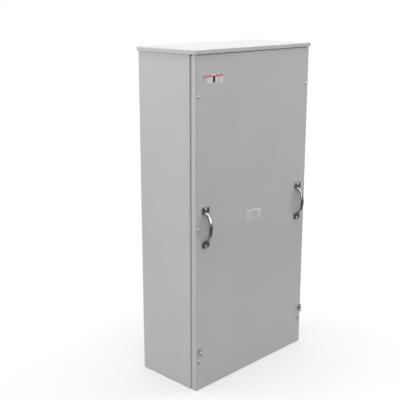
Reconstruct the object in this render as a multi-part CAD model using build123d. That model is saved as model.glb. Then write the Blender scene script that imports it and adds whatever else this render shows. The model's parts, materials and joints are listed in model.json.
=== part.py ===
from build123d import *
import os

# Service termination cabinet: a folded steel box with a rain hood, a lift-off
# front cover with two bow handles and two sealing studs, and inside it four bus
# bars on insulators, where the incoming cables land and the outgoing ones leave.
# Millimetres. X to the right, Y to the back, Z up. The origin is the centre of
# the base of the body, on the surface that the cabinet stands on.

os.makedirs("parts", exist_ok=True)

# Body
width = 609.6              # across the side walls, 24 in
height = 1219.2            # base to the top of the roof, 48 in
body_depth = 254.0         # back wall to the shoulder of the side walls, 10 in
sheet = 1.9                # 14 gauge steel
bend = 1.2                 # inside radius of an ordinary fold
shoulder_bend = 0.6        # inside radius of the two tight folds of the shoulder
extra = 1.0                # how far a cut runs past a face
flange_width = 27.0        # inturned flange behind the edge of the cover
pan_upstand = 25.0         # welded edges of the two end pans
upstand_inset = 9.0        # the pans' side edges stop this far from front and back
drain_radius = 3.2
drain_side = 200.0         # drain holes, to each side of the middle
drain_back = 85.0          # drain holes, in front of the middle

# Roof
fascia = 14.5              # height of the hood's skirt
roof_side = 5.6            # overhang at each side wall
roof_front = 3.7           # overhang in front of the cover
roof_corner = 1.5          # ground weld at the two front corners

# Cover
cover_sheet = 1.9
cover_depth = 19.0         # front face to the rim of the returns
seam = 9.5                 # bare strip of lip between the shoulder and the rim
lip_clearance = 2.1        # returns to lip, all round
seat_gap = 0.3             # cover to the flange behind it
ground_gap = 1.0           # base to the bottom edge of the cover
roof_gap = 1.7             # top edge of the cover to the skirt

# Cover fixings, in rows 18 in apart up both edges: studs in the lowest row
row_pitch = 457.2
lowest_row = 153.0
fixing_inset = 13.4        # from the side of the cabinet
screw_radius = 3.175       # 1/4 in
screw_length = 18.0
screw_head_radius = 5.6
screw_head_height = 3.8
slot_width = 1.5
slot_depth = 1.6
weld_nut_flats = 11.0
weld_nut_height = 5.5
pull_clearance = 0.3       # a cover screw in its nut, a wing nut on its stud
hole_clearance = 0.5       # a fixing in a plain hole

# Sealing studs and wing nuts
stud_radius = 3.97         # 5/16 in
stud_stand = 16.0          # in front of the cover
stud_head_radius = 6.2
stud_head_height = 2.0
seal_hole_radius = 1.2
seal_hole_end = 3.6        # seal hole from the end of the stud
washer_radius = 7.5
washer_thick = 1.3
hub_base_radius = 6.8
hub_top_radius = 5.6
hub_height = 7.6
wing_span = 30.0
wing_height = 14.5
wing_thick = 2.4
wing_round = 2.2
wing_tip_bottom = 8.0      # seat to the lower corner of a wing's tip
wing_tip_width = 5.1
wing_knee = 9.3            # axis to the bend in a wing's lower edge
wing_knee_stand = 1.9      # seat to that bend
wing_root_bottom = 1.1     # seat to a wing's lower edge at the hub
wing_root_top = 6.5        # seat to a wing's upper edge at the hub
wing_root_inset = 1.1      # root of a wing inside the hub
stud_end_chamfer = 0.8

# Seal bridges, lanced out of the cover below the studs
bridge_z = 111.0
bridge_inset = 15.5
bridge_length = 18.0
bridge_width = 8.0
bridge_rise = 3.9
bridge_ramp = 5.0
bridge_bend = 0.8

# Bow handles
handle_z = 610.5
handle_inset = 46.0
handle_pitch = 133.35      # between its two screws, 5 1/4 in
foot_end = 7.1             # screw to the outer end of the foot
foot_height = 23.5
foot_width = 36.0
foot_thick = 3.0
foot_corner = 6.0
bow_stand = 29.0           # cover to the front of the bow
bow_width = 17.0           # at its middle
bow_thick = 5.0
bow_root_width = 12.5      # where it runs into a foot
bow_root_thick = 6.5
bow_edge = 0.42            # rounding of its edges, as a share of the thickness
bow_root = 52.0            # middle of the handle to the root of the bow
bow_crown = 24.0           # middle of the handle to the end of the flat crown
crown_drop = 2.6           # how far the crown falls back by its end
handle_screw_radius = 2.4  # number 10
handle_head_radius = 4.4
handle_head_height = 2.6
handle_nut_flats = 9.5
handle_nut_height = 3.2
thread_past_nut = 1.5
thread_clearance = 0.1     # a nut on its own bolt
dome_share = 0.8           # rounding of a screw or rivet head, of its height

# Labels on the cover
label_thick = 0.4
upper_label_size = (98.5, 30.0)
upper_label_inset = 31.8   # left edge of the cabinet to the label
upper_label_drop = 81.4    # top edge of the cover to the middle of the label
centre_label_size = (77.0, 40.0)
centre_label_x = -2.0
centre_label_z = 606.5
label_corner = 2.0

# Wall fixing holes in the back
wall_hole_radius = 5.5
wall_pitch_x = 457.2
wall_pitch_z = 1066.8

# Rails across the back that carry the insulators
lower_rail_z = 690.0
upper_rail_z = 815.0
rail_length = 540.0
rail_crown = 40.0          # width of the raised middle
rail_foot = 20.0           # width of each welded foot
rail_height = 25.0

# Insulators and bus bars
phases = ("a", "b", "c", "n")
phase_pitch = 130.0
insulator_flats = 38.0
insulator_height = 50.0
insulator_chamfer = 2.5
insert_radius = 4.76       # 3/8 in
insert_depth = 17.0
bar_width = 50.8           # 2 in by 1/4 in bar
bar_thick = 6.35
bar_bottom = 563.0
bar_top = 905.0
bar_edge = 1.0
fixing_grip = 12.0         # thread inside the insulator
fixing_head_flats = 14.3
fixing_head_height = 6.0

# Cable landings at the bottom of each bar
landing_z = 585.0
landing_pitch = 44.45      # 1 3/4 in
landing_radius = 6.35      # 1/2 in
landing_length = 38.0
landing_end_chamfer = 0.95
landing_head_flats = 19.0
landing_head_height = 7.9
landing_nut_height = 11.0
flat_washer_radius = 14.5
flat_washer_thick = 2.4
spring_washer_radius = 12.5
spring_washer_thick = 1.8
spring_washer_rise = 1.2

# Two-barrel cable lugs at the top of each bar
lug_bolt_z = 866.0
lug_width = 50.0
lug_depth = 32.0
tang_thick = 9.0
tang_height = 38.0
tang_end = 18.0            # bolt to the bottom of the tang
barrel_height = 50.0
barrel_slope = 6.0
barrel_radius = 8.75
barrel_pitch = 24.5
lug_round = 1.5
set_screw_radius = 6.2
set_screw_stand = 3.0      # backed off, in front of the lug
set_screw_entry = 1.0      # into the barrel
socket_flats = 6.35
socket_depth = 5.0

# Ground bar on two studs in the back
ground_z = 330.0
ground_length = 170.0
ground_deep = 14.0
ground_tall = 18.0
ground_stud_radius = 3.175
ground_stud_pitch = 144.0
ground_nut_height = 5.6
ground_wires = 5
ground_wire_pitch = 24.0
ground_wire_radius = 3.6
ground_screw_radius = 3.0
ground_screw_head_radius = 4.6
ground_screw_head_height = 3.0

# Cable tie brackets inside the side walls, each on two rivets
bracket_leg = 26.0
bracket_length = 132.0
rivet_pitch = 106.0
rivet_z = 718.5            # middle of the bracket
rivet_inset = 8.0          # behind the shoulder
rivet_radius = 1.95
rivet_head_radius = 3.2
rivet_head_height = 1.3
tie_slots = 3
tie_slot_pitch = 38.0
tie_slot_length = 16.0
tie_slot_width = 5.0

# Planes and edges that several pieces share
half_width = width / 2
back_y = body_depth / 2
back_inside = back_y - sheet
side_inside = half_width - sheet
shoulder_y = -body_depth / 2
rim_y = shoulder_y - seam
face_y = rim_y - cover_depth
face_inside = face_y + cover_sheet
flange_y = face_inside + seat_gap
flange_back = flange_y + sheet
lip_step = cover_sheet + lip_clearance
lip_x = half_width - lip_step
lip_inside = lip_x - sheet
flange_end = lip_x - flange_width
roof_under = height - sheet
skirt_bottom = height - fascia
cover_bottom = ground_gap
cover_top = skirt_bottom - roof_gap
lip_bottom = cover_bottom + lip_step
lip_top = cover_top - lip_step
fixing_x = half_width - fixing_inset
bridge_x = half_width - bridge_inset
handle_x = half_width - handle_inset
screw_rows = (lowest_row + row_pitch, lowest_row + 2 * row_pitch)
rail_face = back_inside - rail_height
bar_back = rail_face - insulator_height
bar_front = bar_back - bar_thick
upper_label_z = cover_top - upper_label_drop
fold = bend + sheet


def phase_x(number):
    """Centre of one bus bar, counted from the left."""
    return (number - (len(phases) - 1) / 2) * phase_pitch


def save(shape, node):
    """Write one piece under its own name."""
    shape.label = node
    export_step(shape, f"parts/{node}.step")


def save_group(shapes, node):
    """Write like fasteners as one group of separate solids."""
    save(Compound(children=list(shapes)), node)


def block(x, y, z):
    """A box between two limits on each axis."""
    size = Box(x[1] - x[0], y[1] - y[0], z[1] - z[0])
    return Pos((x[0] + x[1]) / 2, (y[0] + y[1]) / 2, (z[0] + z[1]) / 2) * size


def along_y(section, x, z, back, front):
    """Pull a section out along Y, from its back end to its front end."""
    plane = Plane(origin=(x, back, z), x_dir=(1, 0, 0), z_dir=(0, -1, 0))
    return extrude(plane * section, amount=back - front)


def along_x(section, start, end, y, z):
    """Pull a section out along X, from one x to a larger one."""
    plane = Plane(origin=(start, y, z), x_dir=(0, 1, 0), z_dir=(1, 0, 0))
    return extrude(plane * section, amount=end - start)


def along_z(section, x, y, bottom, top):
    """Pull a section out upwards."""
    return extrude(Pos(x, y, bottom) * section, amount=top - bottom)


def hexagon(across_flats):
    """Hexagon with two level flats."""
    return RegularPolygon(radius=across_flats / 2, side_count=6, major_radius=False)


def folded_sheet(face_line, radii, side, thickness, length, plane):
    """One sheet folded along a line: the line is its outer face, seen end on."""
    outline = FilletPolyline(*face_line, radius=radii)
    section = make_face(offset(outline, amount=thickness, side=side, closed=True))
    return extrude(plane * section, amount=length / 2, both=True)


def pan_head(x, z, seat, radius, head_height):
    """Domed screw head with a driver slot, standing forward of its seat."""
    head = along_y(Circle(radius), x, z, seat, seat - head_height)
    head = fillet(head.edges().sort_by(Axis.Y)[0], head_height * dome_share)
    slot = block((x - radius, x + radius), (seat - head_height - extra, seat - head_height + slot_depth),
                 (z - slot_width / 2, z + slot_width / 2))
    return head - slot


def hex_nut(x, z, seat, height_of_nut, across_flats, bore):
    """Plain nut standing forward of its seat."""
    nut = along_y(hexagon(across_flats), x, z, seat, seat - height_of_nut)
    return nut - along_y(Circle(bore), x, z, seat, seat - height_of_nut)


def mirrored(shape):
    """The same piece on the other side of the cabinet."""
    return mirror(shape, about=Plane.YZ)


# Sheet-metal body


def make_wrapper():
    """Back and both sides in one sheet, with shoulder, rain lip and flange at each front edge."""
    right = [(flange_end, flange_y), (lip_x, flange_y), (lip_x, shoulder_y),
             (half_width, shoulder_y), (half_width, back_y)]
    left = [(-x, y) for x, y in reversed(right)]
    front_folds = [fold, shoulder_bend, shoulder_bend + sheet, fold]
    sheet_plane = Plane.XY.offset(roof_under / 2)
    wrapper = folded_sheet(right + left, front_folds + front_folds[::-1], Side.LEFT, sheet, roof_under,
                           sheet_plane)
    forward = (flange_y - extra, shoulder_y)
    wrapper -= block((-half_width, half_width), forward, (-extra, lip_bottom))
    wrapper -= block((-half_width, half_width), forward, (lip_top, roof_under + extra))
    for side in (-1, 1):
        for row in screw_rows:
            hole = Circle(screw_radius + hole_clearance)
            wrapper -= along_y(hole, side * fixing_x, row, flange_back + extra, flange_y - extra)
        hole = Circle(stud_radius + thread_clearance)
        wrapper -= along_y(hole, side * fixing_x, lowest_row, flange_back + extra, flange_y - extra)
        for row in (-1, 1):
            hole = Circle(wall_hole_radius)
            wrapper -= along_y(hole, side * wall_pitch_x / 2, height / 2 + row * wall_pitch_z / 2,
                               back_y + extra, back_inside - extra)
            rivet_hole = Circle(rivet_radius + thread_clearance)
            through = sorted((side * (half_width + extra), side * (side_inside - extra)))
            wrapper -= along_x(rivet_hole, *through, shoulder_y + rivet_inset,
                               rivet_z + row * rivet_pitch / 2)
    return wrapper


def make_end_pan():
    """Floor of the body: welded edges at back and sides, lip and flange at the front."""
    flange_top = lip_bottom + flange_width
    line = [(back_inside, pan_upstand), (back_inside, 0), (shoulder_y, 0), (shoulder_y, lip_bottom),
            (flange_y, lip_bottom), (flange_y, flange_top)]
    folds = [fold, shoulder_bend + sheet, shoulder_bend, fold]
    pan = folded_sheet(line, folds, Side.RIGHT, sheet, 2 * side_inside, Plane.YZ)
    ends = (shoulder_y + upstand_inset, back_inside - upstand_inset)
    lip = (flange_y - extra, shoulder_y + sheet + bend)
    flange = (flange_y - extra, flange_back)
    for side in (-1, 1):
        def beyond(x):
            return sorted((side * x, side * (half_width + extra)))
        pan -= block(beyond(lip_inside - bend), lip, (-extra, pan_upstand))
        pan -= block(beyond(flange_end), flange, (-extra, flange_top + extra))
        pan -= block(beyond(side_inside - 2 * fold), ends, (-extra, sheet + extra))
        pan -= block(beyond(side_inside - fold), (back_inside - fold, back_y), (-extra, pan_upstand + extra))
        edge = [(side * side_inside, pan_upstand), (side * side_inside, 0),
                (side * (side_inside - 2 * fold), 0)]
        inner = Side.RIGHT if side > 0 else Side.LEFT
        edge_plane = Plane(origin=(0, sum(ends) / 2, 0), x_dir=(1, 0, 0), z_dir=(0, -1, 0))
        pan += folded_sheet(edge, [fold], inner, sheet, ends[1] - ends[0], edge_plane)
    return pan


def make_roof_cap():
    """Rain hood: a tray turned upside down, with a skirt at the front and both sides."""
    x = half_width + roof_side
    front = face_y - roof_front
    outer = block((-x, x), (front, back_y), (skirt_bottom, height))
    outer = fillet(outer.edges().filter_by(Axis.Z).sort_by(Axis.Y)[:2], roof_corner)
    rim = outer.faces().sort_by(Axis.Z)[-1].edges()
    outer = fillet(rim.sort_by(Axis.Y)[:-1], fold)
    inner = block((sheet - x, x - sheet), (front + sheet, back_y + extra), (skirt_bottom - extra, roof_under))
    rim = inner.faces().sort_by(Axis.Z)[-1].edges()
    return outer - fillet(rim.sort_by(Axis.Y)[:-1], bend)


def make_rail(z):
    """Hat-shaped rail, welded across the inside of the back."""
    foot_y = back_inside - sheet
    half_crown = rail_crown / 2
    line = [(foot_y, z - half_crown - rail_foot), (foot_y, z - half_crown), (rail_face, z - half_crown),
            (rail_face, z + half_crown), (foot_y, z + half_crown), (foot_y, z + half_crown + rail_foot)]
    folds = [bend, fold, fold, bend]
    rail = folded_sheet(line, folds, Side.RIGHT, sheet, rail_length, Plane.YZ)
    for number in range(len(phases)):
        hole = Circle(insert_radius + thread_clearance)
        rail -= along_y(hole, phase_x(number), z, rail_face + sheet + extra, rail_face - extra)
    return rail


def make_bracket():
    """Angle for cable ties, riveted to the inside of the left wall."""
    front = shoulder_y + sheet + bend
    corner = (-side_inside, front + bracket_leg)
    line = [(-side_inside, front), corner, (bracket_leg - side_inside, front + bracket_leg)]
    bracket = folded_sheet(line, [fold], Side.RIGHT, sheet, bracket_length, Plane.XY.offset(rivet_z))
    slot = SlotOverall(tie_slot_length, tie_slot_width, rotation=90)
    for number in range(tie_slots):
        z = rivet_z + (number - (tie_slots - 1) / 2) * tie_slot_pitch
        x = (bracket_leg + fold) / 2 - side_inside
        bracket -= along_y(slot, x, z, corner[1] + extra, corner[1] - sheet - extra)
    for row in (-1, 1):
        bracket -= along_x(Circle(rivet_radius + thread_clearance), -half_width, extra - side_inside + sheet,
                           shoulder_y + rivet_inset, rivet_z + row * rivet_pitch / 2)
    return bracket


def make_rivet(z):
    """Rivet through the left wall and its bracket, with a low dome outside."""
    y = shoulder_y + rivet_inset
    inner_face = sheet - side_inside
    shank = along_x(Circle(rivet_radius), -half_width, inner_face, y, z)
    dome = along_x(Circle(rivet_head_radius), -half_width - rivet_head_height, -half_width, y, z)
    dome = fillet(dome.edges().sort_by(Axis.X)[0], rivet_head_height * dome_share)
    upset = along_x(Circle(rivet_head_radius), inner_face, inner_face + rivet_head_height, y, z)
    return shank + dome + upset


# Cover and what it carries


def make_bridge(x):
    """Strap lanced forward out of the cover, for the seal wire."""
    half = bridge_length / 2
    top = half - bridge_ramp
    line = [(face_y, -half - bridge_ramp), (face_y, -half), (face_y - bridge_rise, -top),
            (face_y - bridge_rise, top), (face_y, half), (face_y, half + bridge_ramp)]
    outer = bridge_bend + cover_sheet
    plane = Plane(origin=(x, 0, bridge_z), x_dir=(0, 1, 0), z_dir=(1, 0, 0))
    return folded_sheet(line, [bridge_bend, outer, outer, bridge_bend], Side.RIGHT, cover_sheet,
                        bridge_width, plane)


def make_cover_pan():
    """Front cover: one sheet with a return folded back along all four edges."""
    outer = block((-half_width, half_width), (face_y, rim_y), (cover_bottom, cover_top))
    outer = fillet(outer.faces().sort_by(Axis.Y)[0].edges(), bend + cover_sheet)
    inner = block((cover_sheet - half_width, half_width - cover_sheet), (face_inside, rim_y + extra),
                  (cover_bottom + cover_sheet, cover_top - cover_sheet))
    cover = outer - fillet(inner.faces().sort_by(Axis.Y)[0].edges(), bend)
    for side in (-1, 1):
        for row in screw_rows:
            cover -= along_y(Circle(screw_radius + hole_clearance), side * fixing_x, row,
                             face_inside + extra, face_y - extra)
        cover -= along_y(Circle(stud_radius + hole_clearance), side * fixing_x, lowest_row,
                         face_inside + extra, face_y - extra)
        for end in (-1, 1):
            cover -= along_y(Circle(handle_screw_radius + thread_clearance), side * handle_x,
                             handle_z + end * handle_pitch / 2, face_inside + extra, face_y - extra)
        window = Rectangle(bridge_width, bridge_length)
        cover -= along_y(window, side * bridge_x, bridge_z, face_inside + extra, face_y - extra)
        cover += make_bridge(side * bridge_x)
    return cover


def make_cover_screw(x, z):
    """Screw that draws the cover to the flange."""
    shank = along_y(Circle(screw_radius), x, z, face_y + screw_length, face_y)
    return shank + pan_head(x, z, face_y, screw_head_radius, screw_head_height)


def make_bow(x):
    """Arched strap: a flat crown and two rounder shoulders, narrower towards its roots."""
    crest = face_y - bow_stand + bow_thick / 2
    crown = ThreePointArc((x, crest + crown_drop, handle_z - bow_crown), (x, crest, handle_z),
                          (x, crest + crown_drop, handle_z + bow_crown))
    root = (x, face_y - foot_thick / 2, handle_z + bow_root)
    upper = TangentArc(crown @ 1, root, tangent=crown % 1)
    lower = mirror(upper, about=Plane.XY.offset(handle_z))
    stations = [(lower, 1), (lower, 2 / 3), (lower, 1 / 3), (crown, 0), (crown, 1 / 2), (crown, 1),
                (upper, 1 / 3), (upper, 2 / 3), (upper, 1)]
    sections = []
    for line, share in stations:
        centre = line @ share
        upward = line % share if (line % share).Z > 0 else -(line % share)
        reach = abs(centre.Z - handle_z) / bow_root
        wide = bow_width + (bow_root_width - bow_width) * reach
        thick = bow_thick + (bow_root_thick - bow_thick) * reach ** 3
        square = Plane(origin=centre, x_dir=(1, 0, 0), z_dir=upward)
        sections.append(square * RectangleRounded(wide, thick, thick * bow_edge))
    return loft(sections)


def make_handle(x):
    """Bow pull: two screwed feet and an arched strap between them."""
    foot_face = face_y - foot_thick
    half_length = handle_pitch / 2 + foot_end
    handle = make_bow(x)
    for end in (-1, 1):
        foot_z = handle_z + end * (half_length - foot_height / 2)
        foot = along_y(RectangleRounded(foot_width, foot_height, foot_corner), x, foot_z, face_y, foot_face)
        foot = chamfer(foot.faces().sort_by(Axis.Y)[0].edges(), foot_thick / 3)
        handle += foot
    handle -= block((x - foot_width, x + foot_width), (face_y, face_y + bow_root_thick),
                    (handle_z - half_length, handle_z + half_length))
    for end in (-1, 1):
        hole = Circle(handle_screw_radius + thread_clearance)
        handle -= along_y(hole, x, handle_z + end * handle_pitch / 2, face_y + extra, foot_face - extra)
    return handle


def make_handle_screw(x, z):
    """Machine screw through a handle's foot and the cover."""
    end = face_inside + handle_nut_height + thread_past_nut
    seat = face_y - foot_thick
    return along_y(Circle(handle_screw_radius), x, z, end, seat) + pan_head(
        x, z, seat, handle_head_radius, handle_head_height)


def make_handle_nut(x, z):
    """Nut behind the cover."""
    return hex_nut(x, z, face_inside + handle_nut_height, handle_nut_height, handle_nut_flats,
                   handle_screw_radius + thread_clearance)


def make_seal_stud(x):
    """Stud with a cross-drilled end, welded behind the flange."""
    head = along_y(Circle(stud_head_radius), x, lowest_row, flange_back + stud_head_height, flange_back)
    end = face_y - stud_stand
    shank = along_y(Circle(stud_radius), x, lowest_row, flange_back, end)
    shank = chamfer(shank.edges().sort_by(Axis.Y)[0], stud_end_chamfer)
    hole_y = end + seal_hole_end
    reach = 2 * stud_radius
    seal_hole = along_x(Circle(seal_hole_radius), x - reach, x + reach, hole_y, lowest_row)
    return head + shank - seal_hole


def make_stud_washer(x):
    """Flat washer between the cover and the wing nut."""
    ring = Circle(washer_radius) - Circle(stud_radius + hole_clearance)
    return along_y(ring, x, lowest_row, face_y, face_y - washer_thick)


def make_wing_nut(x):
    """Wing nut: a tapered hub and two wings that rake forward."""
    seat = face_y - washer_thick
    base = Plane(origin=(x, seat, lowest_row), x_dir=(1, 0, 0), z_dir=(0, -1, 0))
    hub = loft([base * Circle(hub_base_radius), base.offset(hub_height) * Circle(hub_top_radius)])
    nut = hub
    tip = wing_span / 2
    root = hub_top_radius - wing_root_inset
    for end in (-1, 1):
        points = [(seat - wing_root_bottom, end * root),
                  (seat - wing_knee_stand, end * wing_knee),
                  (seat - wing_tip_bottom, end * tip),
                  (seat - wing_height, end * tip),
                  (seat - wing_height, end * (tip - wing_tip_width)),
                  (seat - wing_root_top, end * root)]
        wing = make_face(Polyline(*points, close=True))
        corners = [corner for corner in wing.vertices() if abs(corner.Y) > hub_base_radius]
        wing = fillet(corners, wing_round)
        nut += extrude(Plane(origin=(x, 0, lowest_row), x_dir=(0, 1, 0), z_dir=(1, 0, 0)) * wing,
                       amount=wing_thick / 2, both=True)
    bore = Circle(stud_radius + pull_clearance)
    return nut - along_y(bore, x, lowest_row, seat + extra, seat - wing_height - extra)


def make_label(x, z, size):
    """Thin label on the face of the cover."""
    return along_y(RectangleRounded(*size, label_corner), x, z, face_y, face_y - label_thick)


# Bus bars and terminals


def make_insulator(x, z):
    """Six-sided stand-off insulator with a threaded insert in each end."""
    insulator = along_y(hexagon(insulator_flats), x, z, rail_face, bar_back)
    ends = insulator.faces().sort_by(Axis.Y)
    insulator = chamfer(ends[0].edges() + ends[-1].edges(), insulator_chamfer)
    insert = Circle(insert_radius + thread_clearance)
    insulator -= along_y(insert, x, z, rail_face + extra, rail_face - insert_depth)
    return insulator - along_y(insert, x, z, bar_back + insert_depth, bar_back - extra)


def make_rail_bolt(x, z):
    """Bolt from inside the rail into the back of an insulator."""
    seat = rail_face + sheet
    head = along_y(hexagon(fixing_head_flats), x, z, seat + fixing_head_height, seat)
    return head + along_y(Circle(insert_radius), x, z, seat, rail_face - fixing_grip)


def make_bar_bolt(x, z):
    """Bolt through a bus bar into the front of an insulator."""
    head = along_y(hexagon(fixing_head_flats), x, z, bar_front, bar_front - fixing_head_height)
    return head + along_y(Circle(insert_radius), x, z, bar_back + fixing_grip, bar_front)


def make_bus_bar(x):
    """Flat bar with eased edges, drilled for landings, insulators and lug."""
    bar = block((x - bar_width / 2, x + bar_width / 2), (bar_front, bar_back), (bar_bottom, bar_top))
    bar = fillet(bar.edges().filter_by(Axis.Z), bar_edge)
    holes = [(landing_z, landing_radius), (landing_z + landing_pitch, landing_radius),
             (lower_rail_z, insert_radius), (upper_rail_z, insert_radius), (lug_bolt_z, insert_radius)]
    for z, radius in holes:
        bar -= along_y(Circle(radius + thread_clearance), x, z, bar_back + extra, bar_front - extra)
    return bar


def make_landing_bolt(x, z):
    """Landing bolt, head behind the bar and thread to the front."""
    head = along_y(hexagon(landing_head_flats), x, z, bar_back + landing_head_height, bar_back)
    shank = along_y(Circle(landing_radius), x, z, bar_back, bar_front - landing_length)
    return head + chamfer(shank.edges().sort_by(Axis.Y)[0], landing_end_chamfer)


def make_landing_washer(x, z):
    """Flat washer on the bar."""
    ring = Circle(flat_washer_radius) - Circle(landing_radius + thread_clearance)
    return along_y(ring, x, z, bar_front, bar_front - flat_washer_thick)


def make_spring_washer(x, z):
    """Coned spring washer, its rim on the flat washer."""
    seat = bar_front - flat_washer_thick
    bore = landing_radius + thread_clearance
    cone = make_face(Polyline((spring_washer_radius, 0), (spring_washer_radius, spring_washer_thick),
                              (bore, spring_washer_thick + spring_washer_rise), (bore, spring_washer_rise),
                              close=True))
    plane = Plane(origin=(x, seat, z), x_dir=(1, 0, 0), z_dir=(0, 0, -1))
    axis = Axis((x, seat, z), (0, 1, 0))
    return revolve(plane * cone, axis=axis)


def make_landing_nut(x, z):
    """Nut in front of the spring washer."""
    seat = bar_front - flat_washer_thick - spring_washer_thick - spring_washer_rise
    return hex_nut(x, z, seat, landing_nut_height, landing_head_flats, landing_radius + thread_clearance)


def make_lug(x):
    """Cable lug: a drilled block with two barrels above a bolted tang."""
    bottom = lug_bolt_z - tang_end
    neck = bottom + tang_height
    top = neck + barrel_height
    tang_front = bar_front - tang_thick
    barrel_front = bar_front - lug_depth
    points = [(bar_front, bottom), (tang_front, bottom), (tang_front, neck - barrel_slope),
              (barrel_front, neck), (barrel_front, top), (bar_front, top)]
    side_view = make_face(Polyline(*points, close=True))
    side_view = fillet(side_view.vertices().sort_by(Axis.X)[:2], lug_round)
    lug = extrude(Plane(origin=(x, 0, 0), x_dir=(0, 1, 0), z_dir=(1, 0, 0)) * side_view,
                  amount=lug_width / 2, both=True)
    barrel_y = bar_front - lug_depth / 2
    for side in (-1, 1):
        barrel_x = x + side * barrel_pitch / 2
        lug -= along_z(Circle(barrel_radius), barrel_x, barrel_y, neck - barrel_slope - extra, top + extra)
        lug -= along_y(Circle(set_screw_radius + thread_clearance), barrel_x, neck + barrel_height / 2,
                       barrel_y, barrel_front - extra)
    return lug - along_y(Circle(insert_radius + thread_clearance), x, lug_bolt_z, bar_front + extra,
                         tang_front - extra)


def make_set_screw(x, side):
    """Socket set screw of one barrel, backed off so that the barrel is free."""
    z = lug_bolt_z - tang_end + tang_height + barrel_height / 2
    screw_x = x + side * barrel_pitch / 2
    tip = bar_front - lug_depth / 2 - barrel_radius + set_screw_entry
    front = bar_front - lug_depth - set_screw_stand
    screw = along_y(Circle(set_screw_radius), screw_x, z, tip, front)
    return screw - along_y(hexagon(socket_flats), screw_x, z, front + socket_depth, front - extra)


def make_lug_bolt(x):
    """Bolt from behind the bar through the tang."""
    head = along_y(hexagon(fixing_head_flats), x, lug_bolt_z, bar_back + fixing_head_height, bar_back)
    end = bar_front - tang_thick - fixing_head_height - thread_past_nut
    return head + along_y(Circle(insert_radius), x, lug_bolt_z, bar_back, end)


def make_lug_nut(x):
    """Nut on the face of the tang."""
    return hex_nut(x, lug_bolt_z, bar_front - tang_thick, fixing_head_height, fixing_head_flats,
                   insert_radius + thread_clearance)


def ground_wire_x(number):
    """Place of one wire in the ground bar."""
    return (number - (ground_wires - 1) / 2) * ground_wire_pitch


def make_ground_bar():
    """Drilled bar against the back, for the ground wires."""
    half = ground_length / 2
    half_tall = ground_tall / 2
    bar = block((-half, half), (back_inside - ground_deep, back_inside),
                (ground_z - half_tall, ground_z + half_tall))
    for side in (-1, 1):
        bar -= along_y(Circle(ground_stud_radius + thread_clearance), side * ground_stud_pitch / 2, ground_z,
                       back_inside + extra, back_inside - ground_deep - extra)
    middle = back_inside - ground_deep / 2
    for number in range(ground_wires):
        wire_x = ground_wire_x(number)
        bar -= along_z(Circle(ground_wire_radius), wire_x, middle, ground_z - half_tall - extra,
                       ground_z + half_tall + extra)
        bar -= along_y(Circle(ground_screw_radius + thread_clearance), wire_x, ground_z, middle,
                       back_inside - ground_deep - extra)
    return bar


def make_ground_screw(x):
    """Wire screw of the ground bar, backed off."""
    front = back_inside - ground_deep
    tip = back_inside - ground_deep / 2 - ground_wire_radius
    seat = front - ground_screw_head_height
    shank = along_y(Circle(ground_screw_radius), x, ground_z, tip, seat)
    return shank + pan_head(x, ground_z, seat, ground_screw_head_radius, ground_screw_head_height)


def make_ground_stud(x):
    """Stud welded to the inside of the back."""
    return along_y(Circle(ground_stud_radius), x, ground_z, back_inside,
                   back_inside - ground_deep - ground_nut_height - thread_past_nut)


def make_ground_nut(x):
    """Nut that holds the ground bar to its stud."""
    return hex_nut(x, ground_z, back_inside - ground_deep, ground_nut_height, weld_nut_flats,
                   ground_stud_radius + thread_clearance)


# Write the pieces
save(make_wrapper(), "wrapper")
bottom_pan = make_end_pan()
top_pan = Pos(0, 0, lip_top + lip_bottom) * mirror(bottom_pan, about=Plane.XY)
for drain_x in (-drain_side, drain_side):
    bottom_pan -= along_z(Circle(drain_radius), drain_x, -drain_back, -extra, sheet + extra)
save(bottom_pan, "bottom_pan")
save(top_pan, "top_pan")
save(make_roof_cap(), "roof_cap")
save(make_rail(lower_rail_z), "lower_bus_rail")
save(make_rail(upper_rail_z), "upper_bus_rail")

bracket = make_bracket()
save(bracket, "left_tie_bracket")
save(mirrored(bracket), "right_tie_bracket")
rivets = [make_rivet(rivet_z + row * rivet_pitch / 2) for row in (-1, 1)]
save_group(rivets + [mirrored(rivet) for rivet in rivets], "bracket_rivets")

fixing_spots = [(side * fixing_x, row) for side in (-1, 1) for row in screw_rows]
save_group([hex_nut(x, z, flange_back + weld_nut_height, weld_nut_height, weld_nut_flats,
                    screw_radius + pull_clearance) for x, z in fixing_spots], "weld_nuts")
save_group([make_seal_stud(side * fixing_x) for side in (-1, 1)], "seal_studs")

save(make_cover_pan(), "cover_pan")
save_group([make_cover_screw(x, z) for x, z in fixing_spots], "cover_screws")
handle_spots = [(side * handle_x, handle_z + end * handle_pitch / 2) for side in (-1, 1) for end in (-1, 1)]
save_group([make_handle_screw(x, z) for x, z in handle_spots], "handle_screws")
save_group([make_handle_nut(x, z) for x, z in handle_spots], "handle_nuts")
upper_label_x = upper_label_inset + upper_label_size[0] / 2 - half_width
save(make_label(upper_label_x, upper_label_z, upper_label_size), "upper_label")
save(make_label(centre_label_x, centre_label_z, centre_label_size), "centre_label")
for name, side in (("left", -1), ("right", 1)):
    save(make_handle(side * handle_x), f"{name}_handle")
    save(make_stud_washer(side * fixing_x), f"{name}_stud_washer")
    save(make_wing_nut(side * fixing_x), f"{name}_wing_nut")

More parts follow.
